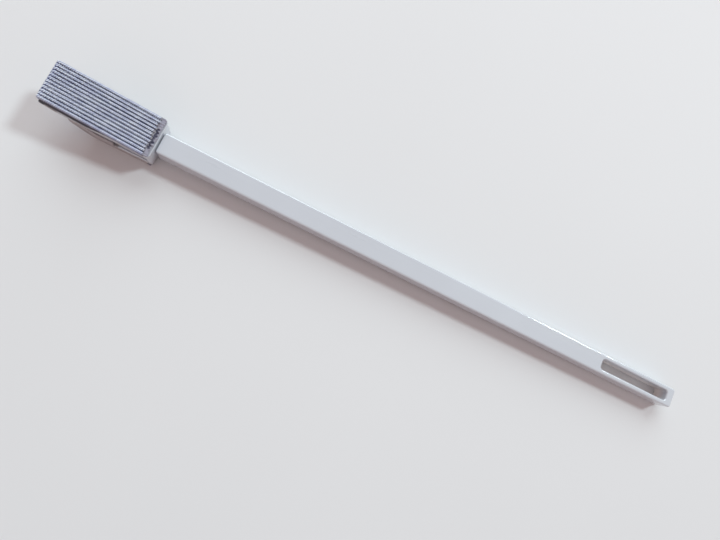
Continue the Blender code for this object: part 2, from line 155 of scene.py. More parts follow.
class Web:
    """The nodes of a material or a world, added one by one in front of its first shader."""

    def __init__(self, owner: bpy.types.Material | bpy.types.World) -> None:
        """Turns the owner's nodes on.

        Args:
            owner: A new material or world.
        """
        owner.use_nodes = True
        self.owner = owner
        self.tree = owner.node_tree
        self.shader = next(node for node in self.tree.nodes if not node.type.startswith("OUTPUT"))

    def _feed(self, place: bpy.types.NodeSocket, given: object) -> None:
        """Feeds one input.

        Args:
            place: The input.
            given: A wrapped number or an output to link, or else a plain value or colour.
        """
        if isinstance(given, Value):
            given = given.socket
        if isinstance(given, bpy.types.NodeSocket):
            self.tree.links.new(given, place)
        elif place.type == "RGBA":
            place.default_value = (*given, 1.0)
        else:
            place.default_value = given

    def add(self, kind: str, settings: Settings, sockets: Sockets) -> bpy.types.Node:
        """Adds one node.

        Args:
            kind: The node's Blender type.
            settings: Properties of the node, set before its sockets.
            sockets: A value or a link for each input, by name or number.

        Returns:
            The new node.
        """
        node = self.tree.nodes.new(kind)
        for key, setting in settings.items():
            setattr(node, key, setting)
        for key, given in sockets.items():
            self._feed(node.inputs[key], given)
        return node

    def number(self, kind: str, settings: Settings, sockets: Sockets, out: int | str = 0) -> Value:
        """Adds one node and wraps the number that it gives.

        Args:
            kind: The node's Blender type.
            settings: Properties of the node.
            sockets: Its inputs.
            out: The output to wrap.

        Returns:
            The wrapped output.
        """
        return Value(self, self.add(kind, settings, sockets).outputs[out])

    def attribute(self, name: str) -> Value:
        """A number stored on the mesh's points."""
        return self.number("ShaderNodeAttribute", {"attribute_name": name}, {}, "Fac")

    def places(self) -> bpy.types.NodeSocket:
        """Object coordinates, which don't move when the tool poses."""
        return self.add("ShaderNodeTexCoord", {}, {}).outputs["Object"]

    def axis(self, name: str) -> Value:
        """One object coordinate, in metres."""
        return self.number("ShaderNodeSeparateXYZ", {}, {"Vector": self.places()}, name)

    def noise(self, scale: float, detail: float = 3.0, stretch: Triple = (1.0, 1.0, 1.0)) -> Value:
        """Cloudy variation.

        Args:
            scale: Cells in each metre.
            detail: Octaves of finer cloud.
            stretch: Factors on the coordinates.

        Returns:
            A number around 0.5.
        """
        spread = self.add("ShaderNodeVectorMath", {"operation": "MULTIPLY"}, {0: self.places(), 1: stretch})
        cloud = {"Vector": spread.outputs[0], "Scale": scale, "Detail": detail}
        return self.number("ShaderNodeTexNoise", {}, cloud)

    def blend(self, amount: Value, low: object, high: object) -> bpy.types.NodeSocket:
        """Mixes two colours, each a plain colour or a socket.

        Args:
            amount: 0 for the first colour, 1 for the second.
            low: The first colour.
            high: The second colour.

        Returns:
            The mixed colour.
        """
        mixed = {0: amount, MIX_FIRST: low, MIX_SECOND: high}
        return self.add("ShaderNodeMix", {"data_type": "RGBA"}, mixed).outputs[MIX_RESULT]

    def bump(self, height: Value, depth: float) -> None:
        """Adds relief to the shading.

        Args:
            height: The relief, from 0 to 1.
            depth: How deep 1 is, in metres.
        """
        relief = {"Height": height, "Distance": depth, "Strength": 1.0}
        self.set(Normal=self.add("ShaderNodeBump", {}, relief).outputs["Normal"])

    def set(self, **sockets: object) -> None:
        """Feeds inputs of the first shader, named with underscores for spaces."""
        for key, given in sockets.items():
            self._feed(self.shader.inputs[key.replace("_", " ")], given)


def scaled(colour: Colour, factor: float) -> Colour:
    """The colour, paler or darker by a factor."""
    return tuple(part * factor for part in colour)


@dataclass(frozen=True)
class MouldedPlastic:
    """White moulded plastic with a soft gloss and faint scuffs from use, and painted warm light on the
    walls inside the hanging slot.
    """

    colour: Colour = (0.567, 0.594, 0.657)
    dulling: float = 0.96
    cloud_cells: float = 45.0
    gloss: float = 0.30
    scuff: float = 0.12
    streak: float = 0.05
    streak_cells: float = 900.0
    streak_stretch: Triple = (0.06, 1.0, 1.0)
    grain_cells: float = 2600.0
    grain_depth: float = 0.012 * MM
    ior: float = 1.49
    coat_ior: float = 1.8
    coat_gloss: float = 0.1
    # Painted light: the pale warm colour of the slot walls stands in for light that the plastic lets
    # through and bounces there.
    slot_painted_light: Colour = (0.93, 0.86, 0.84)
    slot_middle: float = 158.35 * MM
    slot_reach: float = 24.0 * MM
    slot_half_width: float = 3.4 * MM
    slot_top: float = 11.8 * MM
    side_rise: float = 3000.0
    end_rise: float = 1000.0
    depth_rise: float = 220.0

    def material(self, name: str, slotted: bool) -> bpy.types.Material:
        """Builds the material.

        Args:
            name: The material's name.
            slotted: Whether the piece has the hanging slot, whose walls get painted warm light.

        Returns:
            The material.
        """
        web = Web(bpy.data.materials.new(name))
        clouds = web.noise(self.cloud_cells, 4.0)
        streaks = web.noise(self.streak_cells, 2.0, self.streak_stretch)
        face = web.blend(clouds, scaled(self.colour, self.dulling), self.colour)
        # Painted light: the slot walls are blended towards the pale warm colour.
        web.set(Base_Color=web.blend(self._slot_painted_light(web), face, self.slot_painted_light) if slotted else face)
        web.set(Roughness=self.gloss + (clouds - 0.5) * self.scuff + (streaks - 0.5) * self.streak)
        web.bump(web.noise(self.grain_cells, 2.0), self.grain_depth)
        web.set(IOR=self.ior, Coat_Weight=1.0, Coat_IOR=self.coat_ior, Coat_Roughness=self.coat_gloss)
        return web.owner

    def _slot_painted_light(self, web: Web) -> Value:
        """Where warm light is painted on the walls inside the hanging slot. A rise is how fast that sets
        in, per metre.

        Args:
            web: The material's nodes.

        Returns:
            1 low on the walls, fading to 0 at the slot's rim and elsewhere.
        """
        narrow = ((self.slot_half_width - web.axis("Y").size()) * self.side_rise).clamped()
        within = ((self.slot_reach - (web.axis("X") - self.slot_middle).size()) * self.end_rise).clamped()
        below = ((self.slot_top - web.axis("Z")) * self.depth_rise).clamped()
        return narrow * within * below


@dataclass(frozen=True)
class Microfibre:
    """Ribbed knit: slanted pale strands on each rib, dark blue between the ribs."""

    strand: Colour = (0.87, 0.925, 1.0)
    shade: Colour = (0.062, 0.085, 0.320)
    groove: Colour = (0.005, 0.010, 0.085)
    # The selvedge colour is the knit's dark edge, made darker still as painted shade on the upper knit's
    # near side.
    selvedge: Colour = (0.080, 0.076, 0.088)
    cut_edge: Colour = (0.47, 0.44, 0.455)
    fibre_cells: float = 3000.0
    fibre_stretch: Triple = (0.6, 1.0, 1.0)
    fibre_on_strand: float = 0.4
    fibre_on_pile: float = 0.25
    patch_cells: float = 150.0
    patch_on_strand: float = 0.25
    fluff_cells: float = 6500.0
    fluff_share: float = 0.3
    fluff_depth: float = 0.12 * MM
    dullness: float = 0.94
    fuzz: float = 0.35
    haze: Colour = (0.66, 0.80, 1.0)

    def material(self, name: str) -> bpy.types.Material:
        """Builds the material.

        Args:
            name: The material's name.

        Returns:
            The material.
        """
        web = Web(bpy.data.materials.new(name))
        fibres = web.noise(self.fibre_cells, 3.0, self.fibre_stretch)
        patches = web.noise(self.patch_cells, 3.0)
        lit = web.attribute("strand") + (fibres - 0.5) * self.fibre_on_strand
        lit = (lit + (patches - 0.5) * self.patch_on_strand).clamped()
        yarn = web.blend(lit, self.shade, self.strand)
        pile = (web.attribute("pile") + (fibres - 0.5) * self.fibre_on_pile).clamped()
        ribbed = web.blend(pile, self.groove, yarn)
        rim = web.blend(web.attribute("pale").clamped(), self.selvedge, self.cut_edge)
        web.set(Base_Color=web.blend(web.attribute("cut").clamped(), ribbed, rim), Roughness=self.dullness)
        web.set(Sheen_Weight=self.fuzz, Sheen_Roughness=0.45, Sheen_Tint=self.haze, Specular_IOR_Level=0.2)
        relief = fibres * (1 - self.fluff_share) + web.noise(self.fluff_cells, 2.0) * self.fluff_share
        web.bump(relief, self.fluff_depth)
        return web.owner


@dataclass(frozen=True)
class FoldedEdge:
    """The folded and overlocked end of the knit: a dark thread with paler fluff at its sides."""

    yarn: Colour = (0.050, 0.050, 0.082)
    fluff: Colour = (0.33, 0.325, 0.40)
    fibre_cells: float = 2600.0
    fibre_share: float = 0.8
    tuft_cells: float = 620.0
    tuft_share: float = 1.6
    fluff_depth: float = 0.15 * MM
    dullness: float = 0.95

    def material(self, name: str) -> bpy.types.Material:
        """Builds the material.

        Args:
            name: The material's name.

        Returns:
            The material.
        """
        web = Web(bpy.data.materials.new(name))
        fibres = web.noise(self.fibre_cells, 3.0)
        tufts = web.noise(self.tuft_cells, 2.0)
        over = web.attribute("pile") + (fibres - 0.5) * self.fibre_share
        over = (over + (tufts - 0.5) * self.tuft_share).clamped()
        web.set(Base_Color=web.blend(over, self.yarn, self.fluff), Roughness=self.dullness)
        web.set(Sheen_Weight=0.2, Sheen_Roughness=0.5, Specular_IOR_Level=0.2)
        web.bump(fibres, self.fluff_depth)
        return web.owner


@dataclass(frozen=True)
class FoamSheet:
    """Grey open-cell foam."""

    colour: Colour = (0.30, 0.31, 0.34)
    cell_shade: float = 0.7
    cells: float = 2600.0
    cell_depth: float = 0.25 * MM

    def material(self, name: str) -> bpy.types.Material:
        """Builds the material.

        Args:
            name: The material's name.

        Returns:
            The material.
        """
        web = Web(bpy.data.materials.new(name))
        sponge = {"Vector": web.places(), "Scale": self.cells}
        pores = web.number("ShaderNodeTexVoronoi", {}, sponge, "Distance")
        web.set(Base_Color=web.blend(pores.clamped(), scaled(self.colour, self.cell_shade), self.colour))
        web.set(Roughness=0.95, Specular_IOR_Level=0.15)
        web.bump(pores, self.cell_depth)
        return web.owner


@dataclass(frozen=True)
class ScrewSteel:
    """Bright zinc-plated steel."""

    colour: Colour = (0.62, 0.63, 0.65)
    gloss: float = 0.28
    wear: float = 0.12
    wear_cells: float = 800.0

    def material(self, name: str) -> bpy.types.Material:
        """Builds the material.

        Args:
            name: The material's name.

        Returns:
            The material.
        """
        web = Web(bpy.data.materials.new(name))
        web.set(Base_Color=self.colour, Metallic=1.0)
        web.set(Roughness=self.gloss + web.noise(self.wear_cells) * self.wear)
        return web.owner


@dataclass(frozen=True)
class TableTop:
    """The pale table that the tool lies on, with painted light that makes it a little brighter towards the
    far side.
    """

    colour: Colour = (0.743, 0.747, 0.770)
    near_shade: float = 0.93
    far_shade: float = 1.08
    shade_per_metre: float = 2.0
    cloud_cells: float = 4.0
    cloud_share: float = 0.3

    def material(self, name: str) -> bpy.types.Material:
        """Builds the material.

        Args:
            name: The material's name.

        Returns:
            The material.
        """
        web = Web(bpy.data.materials.new(name))
        cloud = web.noise(self.cloud_cells, 2.0)
        # Painted light: the table is lighter towards the far side (+Y) and darker on the near side.
        lit = (web.axis("Y") * self.shade_per_metre + 0.5 + (cloud - 0.5) * self.cloud_share).clamped()
        near = scaled(self.colour, self.near_shade)
        far = scaled(self.colour, self.far_shade)
        web.set(Base_Color=web.blend(lit, near, far), Roughness=0.6, Specular_IOR_Level=0.25)
        return web.owner


def arc_corner(before: Vector, corner: Vector, after: Vector, radius: float) -> list[Vector]:
    """Rounds one corner of a line.

    Args:
        before: The point before the corner.
        corner: The corner itself.
        after: The point after it.
        radius: The arc's radius.

    Returns:
        Points of the arc.
    """
    back = (before - corner).normalized()
    ahead = (after - corner).normalized()
    half = back.angle(ahead) / 2
    centre = corner + (back + ahead).normalized() * (radius / math.sin(half))
    spoke = corner + back * (radius / math.tan(half)) - centre
    turn = math.pi - 2 * half
    if back.cross(ahead) > 0:
        turn = -turn
    steps = max(LEAST_ARC_STEPS, math.ceil(abs(turn) / ARC_STEP))
    return [centre + Matrix.Rotation(turn * i / steps, 2) @ spoke for i in range(steps + 1)]


def rounded_line(points: Sequence[Vector], radii: Sequence[float]) -> list[Vector]:
    """A line through these points with rounded corners.

    Args:
        points: The line's ends and corners, in the XZ plane.
        radii: A radius for each, 0 at the ends.

    Returns:
        The line's points.
    """
    line = [points[0]]
    for i in range(1, len(points) - 1):
        line += arc_corner(points[i - 1], points[i], points[i + 1], radii[i])
    return line + [points[-1]]


@dataclass
class JawLines:
    """Where the layers of both jaws run, in the frame's XZ plane."""

    hem_x: float = -132.5 * MM
    layer_gap: float = 0.2 * MM
    knit: float = 1.9 * MM
    foam: float = 1.0 * MM
    hem_length: float = 1.6 * MM
    hem_lap: float = 0.5 * MM
    mouth_gap: float = 0.8 * MM
    nose_round: float = 0.6 * MM
    upper_slope: float = math.radians(7.5)
    upper_top: float = 16.15 * MM
    upper_plate: float = 2.6 * MM
    upper_nose_taper: float = 6.5 * MM
    upper_nose_edge: float = 1.1 * MM
    upper_taper_round: float = 3.0 * MM
    upper_back: float = 18.5 * MM
    nose_overhang: float = 1.868 * MM
    lower_plate: float = 2.2 * MM
    lower_bend: float = math.radians(49.8)
    lower_bend_x: float = -161.96 * MM
    lower_bend_radius: float = 4.0 * MM
    lower_back_x: float = -149.0 * MM

    def on_upper(self, along: float, above: float) -> Vector:
        """A point on the upper jaw's slope.

        Args:
            along: Distance from the hem towards the tip.
            above: Height square to the slope, from the plate's top face.

        Returns:
            The point.
        """
        slope_x = -math.cos(self.upper_slope) * along + math.sin(self.upper_slope) * above
        slope_z = math.sin(self.upper_slope) * along + math.cos(self.upper_slope) * above
        return Vector((self.hem_x + slope_x, self.upper_top + slope_z))

    @property
    def under(self) -> float:
        """The inner knit's jaw side, measured from the upper plate's top face."""
        return -(self.upper_plate + self.foam + 2 * self.layer_gap)

    @property
    def front(self) -> float:
        """The outer knit's jaw side, measured out from the middle of the lower plate."""
        return self.lower_plate / 2 + self.foam + 2 * self.layer_gap

    @property
    def middle_z(self) -> float:
        """Height of the middle of the lower plate."""
        return self.front + self.knit

    def lower_corner(self, out: float) -> Vector:
        """The lower jaw's corner, moved out from the middle of its plate."""
        return Vector((self.lower_bend_x - out * math.tan(self.lower_bend / 2), self.middle_z - out))

    def lower_nose(self, out: float, height: float) -> Vector:
        """A point of this height on the lower jaw's turned-up part."""
        corner = self.lower_corner(out)
        return Vector((corner.x - (height - corner.y) / math.tan(self.lower_bend), height))

    def reach(self) -> float:
        """How far the upper cover's jaw side runs, worked out from its solid.

        Returns:
            The length from the hem to the nose.
        """
        end_face = self.on_upper(0, -self.layer_gap - self.upper_nose_edge)
        tip_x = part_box("upper_cover")[0].x
        return (end_face.x - tip_x) / math.cos(self.upper_slope) - self.nose_overhang

    def mouth_height(self) -> float:
        """How high the lower cover reaches under the upper one.

        Returns:
            The height over the frame's origin.
        """
        low = self.on_upper(0, self.under - self.knit - self.mouth_gap)
        corner = self.lower_corner(0)
        rise = math.tan(self.upper_slope)
        lean = math.tan(self.lower_bend)
        return (low.y + (low.x - corner.x - corner.y / lean) * rise) / (1 - rise / lean)

    def upper_line(self) -> list[Vector]:
        """The upper cover's jaw side.

        Returns:
            Points from the hem round the nose and back inside.
        """
        reach = self.reach()
        points = [
            self.on_upper(self.hem_length - self.hem_lap, self.layer_gap),
            self.on_upper(reach, self.layer_gap),
            self.on_upper(reach, -self.upper_nose_edge - self.layer_gap),
            self.on_upper(reach - self.upper_nose_taper, self.under),
            self.on_upper(self.upper_back + self.hem_length + self.layer_gap, self.under),
        ]
        return rounded_line(points, [0, self.nose_round, self.nose_round, self.upper_taper_round, 0])

    def lower_line(self) -> list[Vector]:
        """The lower cover's jaw side.

        Returns:
            Points from inside the mouth round the nose to the hem.
        """
        inside = -self.lower_plate / 2 - self.layer_gap
        top = self.mouth_height() - self.knit
        spare = self.hem_length + self.layer_gap
        points = [
            Vector((self.lower_back_x - spare, self.middle_z - inside)),
            self.lower_corner(inside),
            self.lower_nose(inside, top),
            self.lower_nose(self.front, top),
            self.lower_corner(self.front),
            Vector((self.hem_x - spare, self.middle_z - self.front)),
        ]
        inner_bend = self.lower_bend_radius - self.layer_gap
        outer_bend = self.lower_bend_radius + self.lower_plate / 2 + self.front
        return rounded_line(points, [0, inner_bend, self.nose_round, self.nose_round, outer_bend, 0])


def resampled(line: Sequence[Vector], step: float, height: float) -> Stations:
    """Stations along a line, no further apart than the step on the line or over it.

    Args:
        line: The line's points.
        step: Distance between stations.
        height: How far over the line the other surface lies.

    Returns:
        Each station's place and outward normal, its distance from the start and that over the line.
    """
    points = np.array([tuple(p) for p in line])
    at = np.concatenate([[0.0], np.cumsum(np.linalg.norm(np.diff(points, axis=0), axis=1))])
    fine = np.linspace(0.0, at[-1], int(at[-1] / FINE_STEP))
    place = np.stack([np.interp(fine, at, points[:, k]) for k in (0, 1)], axis=1)
    ahead = np.minimum(np.arange(len(fine)) + TANGENT_REACH, len(fine) - 1)
    behind = np.maximum(np.arange(len(fine)) - TANGENT_REACH, 0)
    tangent = place[ahead] - place[behind]
    tangent /= np.linalg.norm(tangent, axis=1)[:, None]
    normal = np.stack([tangent[:, 1], -tangent[:, 0]], axis=1)
    over = np.linalg.norm(np.diff(place + normal * height, axis=0), axis=1)
    under = np.linalg.norm(np.diff(place, axis=0), axis=1)
    pace = np.concatenate([[0.0], np.cumsum(np.maximum(over, under))])
    skin = np.concatenate([[0.0], np.cumsum(over)])
    stations = np.linspace(0.0, pace[-1], int(pace[-1] / step))
    place = np.stack([np.interp(stations, pace, place[:, k]) for k in (0, 1)], axis=1)
    normal = np.stack([np.interp(stations, pace, normal[:, k]) for k in (0, 1)], axis=1)
    normal /= np.linalg.norm(normal, axis=1)[:, None]
    return place, normal, np.interp(stations, pace, fine), np.interp(stations, pace, skin)


def new_piece(
    name: str, corners: np.ndarray, faces: Sequence[Sequence[int]], marks: dict[str, np.ndarray]
) -> bpy.types.Object:
    """A smooth mesh object with numbers on its points that its material reads.

    Args:
        name: The object's name.
        corners: Its points.
        faces: Its faces, as indices.
        marks: A number for each point, by name.

    Returns:
        The object.
    """
    mesh = bpy.data.meshes.new(name)
    mesh.from_pydata(corners.reshape(-1, 3).tolist(), [], faces)
    mesh.polygons.foreach_set("use_smooth", [True] * len(mesh.polygons))
    for mark, values in marks.items():
        held = mesh.attributes.new(mark, "FLOAT", "POINT")
        held.data.foreach_set("value", values.reshape(-1).astype(np.float32))
    mesh.update()
    made = bpy.data.objects.new(name, mesh)
    bpy.context.scene.collection.objects.link(made)
    return made


def loop_faces(rows: int, around: int) -> list[tuple[int, ...]]:
    """Faces of a closed tube with capped ends.

    Args:
        rows: Rings along it.
        around: Points in each ring.

    Returns:
        The faces.
    """
    faces: list[tuple[int, ...]] = []
    for i in range(rows - 1):
        low = i * around
        high = low + around
        for j in range(around):
            k = (j + 1) % around
            faces.append((low + j, high + j, high + k, low + k))
    faces.append(tuple(range(around)))
    faces.append(tuple(range(rows * around - 1, (rows - 1) * around - 1, -1)))
    return faces


@dataclass
class KnitCover:
    """A ribbed knit band folded round one jaw. Each rib is a rope of slanted strands.

    A pitch is the distance from one to the next. A shift puts each groove out of step with the one
    before it. The upper knit lies askew: its middle and its pitch change from the hem to the nose. The
    grooves sway least over the calm share of the length. The fringe is the frayed band at both ends,
    and the flange is the flat selvedge along the upper knit's near side.
    """

    side: Side
    lines: JawLines
    rib_count: int = 12
    solid_pitch: float = 1.77 * MM
    rib_depth: float = 0.8 * MM
    rib_dome: float = 0.2 * MM
    groove_floor: float = 0.06 * MM
    groove_width: float = 0.26 * MM
    groove_change: float = 0.5
    groove_change_step: float = 0.8 * MM
    groove_change_spare: float = 2.0 * MM
    notch: float = 0.40 * MM
    strand_pitch: float = 0.92 * MM
    strand_lean: float = 0.55
    strand_depth: float = 0.30 * MM
    strand_fullness: float = 1.8
    dullest_strand: float = 0.70
    shine_count: int = 400
    wave_pitch: float = 1.62 * MM
    sway: float = 0.12 * MM
    sway_shift: float = 1.1
    calm_share: float = 0.18
    calm_rise: float = 6.0
    least_sway: float = 0.35
    ripple: float = 0.10 * MM
    ripple_shift: float = 2.3
    askew_at_hem: float = -0.10 * MM
    askew_to_nose: float = 0.80 * MM
    pitch_at_hem: float = 1.80 * MM
    pitch_to_nose: float = -0.065 * MM
    nose_swell: float = 0.15
    nose_square: int = 6
    nose_fill: float = 1.4
    most_fill: float = 0.85
    ragged: float = 1.1 * MM
    thin_end: float = 0.55
    thin_length: float = 0.6 * MM
    fringe: float = 0.5 * MM
    fringe_cut: float = 0.8
    fringe_edge: float = 4.0
    fringe_dark: float = 0.55
    edge_round: float = 0.7 * MM
    edge_pile: float = 0.6
    cut_ribs: float = 1.6
    selvedge: float = 0.5 * MM
    flange_width: float = 0.88 * MM
    flange_from: float = 18.0 * MM
    flange_rise: float = 11.0 * MM
    spare: float = 0.02 * MM
    step: float = 0.15 * MM
    samples_per_rib: int = 12
    seed: int = 11

    @property
    def half_width(self) -> float:
        """Half the width of the cover's solid."""
        return self.rib_count * self.solid_pitch / 2

    def line(self) -> list[Vector]:
        """The jaw side of the cover."""
        return self.lines.upper_line() if self.side is Side.UPPER else self.lines.lower_line()

    def lay(self, at: np.ndarray) -> tuple[np.ndarray, np.ndarray]:
        """How the knit lies on its jaw: the upper one is pulled a little askew.

        Args:
            at: Stations along the cover.

        Returns:
            The middle of the ribs and their pitch, at each station.
        """
        if self.side is Side.LOWER:
            return np.zeros_like(at), np.full_like(at, self.solid_pitch)
        far = np.clip(at / self.lines.reach(), 0, 1)
        return self.askew_at_hem + self.askew_to_nose * far, self.pitch_at_hem + self.pitch_to_nose * far

    def fold(self, normal: np.ndarray) -> tuple[np.ndarray, np.ndarray]:
        """Where the knit folds over the upper nose: it is stretched flat and stands out there.

        Args:
            normal: The line's outward normals.

        Returns:
            A factor on the thickness, and how far the grooves are filled, at each station.
        """
        if self.side is Side.LOWER:
            return np.ones(len(normal)), np.zeros(len(normal))
        turn = np.arctan2(normal[:, 0], normal[:, 1]) - self.lines.upper_slope
        folding = (turn < 0) & (turn > -math.pi / 2)
        steep = np.abs(np.sin(turn))
        power = self.nose_square
        square = (np.abs(np.cos(turn)) ** power + steep**power) ** (-1 / power)
        factor = np.where(folding, square, 1.0) * (1 + self.nose_swell * steep)
        return factor, np.clip(self.nose_fill * steep, 0, self.most_fill)

    def build(self) -> bpy.types.Object:
        """Builds the knit with its ribs, strands and rolled sides.

        Returns:
            The cover.
        """
        place, normal, at, skin = resampled(self.line(), self.step, self.lines.knit)
        chance = np.random.default_rng(self.seed)
        middle, pitch = (values[:, None] for values in self.lay(at))
        swell, filled = (values[:, None] for values in self.fold(normal))
        u = np.linspace(0, self.rib_count, self.rib_count * self.samples_per_rib + 1)[None, :]
        across = middle + (u - self.rib_count / 2) * pitch
        groove = np.rint(u).astype(int).repeat(len(at), axis=0)
        rib = np.minimum(u.astype(int), self.rib_count - 1)
        lean = u - rib - 0.5
        uneven = np.take_along_axis(self._unevenness(chance, at), groove, axis=1)
        wave, strand = self._strands(chance, skin, rib, lean)
        apart = np.abs((u - groove) * pitch + self._wander(at, skin, groove)) - self.notch * (1 - wave) ** 2
        crest = self._crest(apart, uneven, groove)
        sunk = self.rib_depth * (1 - crest) + self.rib_dome * (2 * lean) ** 2
        thick = self.lines.knit - sunk * (1 - filled) - self.strand_depth * (1 - strand) * crest
        from_side = np.minimum(u, self.rib_count - u)
        rim = np.clip(from_side * pitch / self.edge_round, 0, 1)
        thick = self.selvedge + (thick - self.selvedge) * np.sqrt(1 - (1 - rim) ** 2)
        loose = chance.uniform(0.0, self.ragged, self.rib_count)[rib]
        ends = np.minimum(at, at[-1] - at)[:, None] - loose
        full = np.clip(ends / self.thin_length + 0.5, 0, 1)
        thick = thick * (self.thin_end + (1 - self.thin_end) * full) * swell
        inside = at[:, None] > self.lines.reach() + self.lines.knit
        cut_side = np.clip(self.cut_ribs - from_side, 0, 1)
        if self.side is Side.UPPER:
            cut_side = (1 - rim) * inside
        marks = self._marks(crest, strand, rim, cut_side, ends)
        return self._close(place, normal, at, across, thick, marks, inside)

    def flange(self, at: np.ndarray) -> np.ndarray:
        """How wide the flat dark selvedge under the last rib is, at each station: a strip that also paints
        shade along the upper knit's near side.
        """
        return self.flange_width * np.clip((at - self.flange_from) / self.flange_rise, 0, 1)

    def _unevenness(self, chance: np.random.Generator, at: np.ndarray) -> np.ndarray:
        """How the width of each groove changes along it.

        Args:
            chance: The random numbers.
            at: Stations along the cover.

        Returns:
            A number from -1 to 1 for each station and groove.
        """
        knots = np.arange(0, at[-1] + self.groove_change_spare, self.groove_change_step)
        grooves = range(self.rib_count + 1)
        return np.stack([np.interp(at, knots, chance.uniform(-1, 1, len(knots))) for _ in grooves], axis=1)

    def _wander(self, at: np.ndarray, skin: np.ndarray, groove: np.ndarray) -> np.ndarray:
        """How far each groove wanders aside: slowly with the ribs' sway, and with each strand.

        Args:
            at: Stations along the cover.
            skin: The same over the knit.
            groove: The nearest groove of each column.

        Returns:
            A distance across, for each station and column.
        """
        calm = np.clip((at / at[-1] - self.calm_share) * self.calm_rise, self.least_sway, 1)[:, None]
        along = 2 * np.pi * skin[:, None]
        slow = self.sway * calm * np.sin(along / self.wave_pitch + self.sway_shift * groove)
        return slow + self.ripple * np.sin(along / self.strand_pitch + self.ripple_shift * groove)

    def _strands(
        self, chance: np.random.Generator, skin: np.ndarray, rib: np.ndarray, lean: np.ndarray
    ) -> tuple[np.ndarray, np.ndarray]:
        """The slanted strands of each rib, some paler than others.

        Args:
            chance: The random numbers.
            skin: Stations over the knit.
            rib: The rib of each column.
            lean: Where the column lies in its rib, from -0.5 to 0.5.

        Returns:
            1 on a strand and 0 between two, and that times the strand's paleness.
        """
        forward = 1 if self.side is Side.UPPER else -1
        slant = forward * skin[:, None] + self.strand_lean * lean * self.solid_pitch
        turns = slant / self.strand_pitch + chance.random(self.rib_count)[rib]
        shine = chance.uniform(self.dullest_strand, 1.0, (self.rib_count, self.shine_count))
        wave = np.clip((0.5 + 0.5 * np.cos(2 * np.pi * turns)) * self.strand_fullness, 0, 1)
        return wave, wave * shine[rib, np.rint(turns).astype(int) % self.shine_count]

    def _crest(self, apart: np.ndarray, uneven: np.ndarray, groove: np.ndarray) -> np.ndarray:
        """Where the ribs stand up between the grooves.

        Args:
            apart: Distance from the nearest groove.
            uneven: How much wider than usual that groove is.
            groove: Its number.

        Returns:
            1 on a rib, 0 in a groove.
        """
        width = self.groove_width * (1 + self.groove_change * uneven)
        crest = np.clip((apart - self.groove_floor) / width, 0, 1)
        crest = crest * crest * (3 - 2 * crest)
        return np.where((groove == 0) | (groove == self.rib_count), 1.0, crest)

    def _marks(
        self, crest: np.ndarray, strand: np.ndarray, rim: np.ndarray, cut_side: np.ndarray, ends: np.ndarray
    ) -> dict[str, np.ndarray]:
        """The numbers that the material reads.

        Args:
            crest: 1 on a rib, 0 in a groove.
            strand: How pale the strand is.
            rim: 0 at the cover's sides, 1 past their rounding.
            cut_side: 1 where a side shows its cut edge.
            ends: Distance from the nearer frayed end.

        Returns:
            A number for each station and column, by name.
        """
        fringe = 1 - np.clip(ends / self.fringe, 0, 1)
        return {
            "pile": crest * (self.edge_pile + (1 - self.edge_pile) * rim),
            "strand": strand,
            "cut": np.clip(np.maximum(fringe * self.fringe_cut, cut_side), 0, 1),
            "pale": 1 - self.fringe_dark * np.clip(fringe * self.fringe_edge, 0, 1),
        }

    def _close(
        self,
        place: np.ndarray,
        normal: np.ndarray,
        at: np.ndarray,
        across: np.ndarray,
        thick: np.ndarray,
        marks: dict[str, np.ndarray],
        inside: np.ndarray,
    ) -> bpy.types.Object:
        """Adds the selvedges and the jaw side, and makes the mesh.

        Args:
            place: Stations along the line.
            normal: Their outward normals.
            at: Their distance from the start.
            across: Where each column lies across the cover, at each station.
            thick: Its height over the jaw line.
            marks: The numbers for the material.
            inside: Whether the station is inside the mouth, where the upper selvedge is pale too.

        Returns:
            The cover.
        """
        flat = np.zeros((len(place), 1))
        foot = across[:, :1] - self.spare
        end = across[:, -1:] + self.spare
        near = np.minimum(foot - self.spare, -self.half_width)
        if self.side is Side.UPPER:
            near = foot - self.spare - self.flange(at)[:, None]
        far = np.maximum(end + self.spare, self.half_width)
        low = np.full_like(near, self.selvedge)
        lanes = [near, near, foot, across, end, far, far]
        heights = [flat, low, low, thick, low, low, flat]
        outer = self._skin(place, normal, np.concatenate(lanes, axis=1), np.concatenate(heights, axis=1))
        side = np.ones((len(place), 3))
        # Outside the mouth, the upper knit's side and flange take the dark selvedge colour, which is partly
        # painted shade.
        pale = side * inside if self.side is Side.UPPER else side
        edge = {"pile": side * 0, "strand": side * 0, "cut": side, "pale": pale}
        held = {
            name: np.concatenate([edge[name], values, edge[name]], axis=1)
            for name, values in marks.items()
        }
        faces = loop_faces(len(place), outer.shape[1])
        return new_piece(f"{self.side.value}_knit", outer, faces, held)

    @staticmethod
    def _skin(place: np.ndarray, normal: np.ndarray, across: np.ndarray, thick: np.ndarray) -> np.ndarray:
        """Points at a height over the jaw line.

        Args:
            place: Stations along the line.
            normal: Their outward normals.
            across: Where each point lies across the cover.
            thick: Height at each station and place.

        Returns:
            A grid of points.
        """
        x = place[:, 0:1] + normal[:, 0:1] * thick
        z = place[:, 1:2] + normal[:, 1:2] * thick
        return np.stack([x, across, z], axis=2)

    def dress(self, made: bpy.types.Object, finish: Microfibre) -> None:
        """Gives the cover its finish and its place in the frame.

        Args:
            made: The cover.
            finish: Its finish.
        """
        made.data.materials.append(finish.material(f"{self.side.value}_microfibre"))
        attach(made, self.side.body)
        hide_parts(f"{self.side.value}_cover")


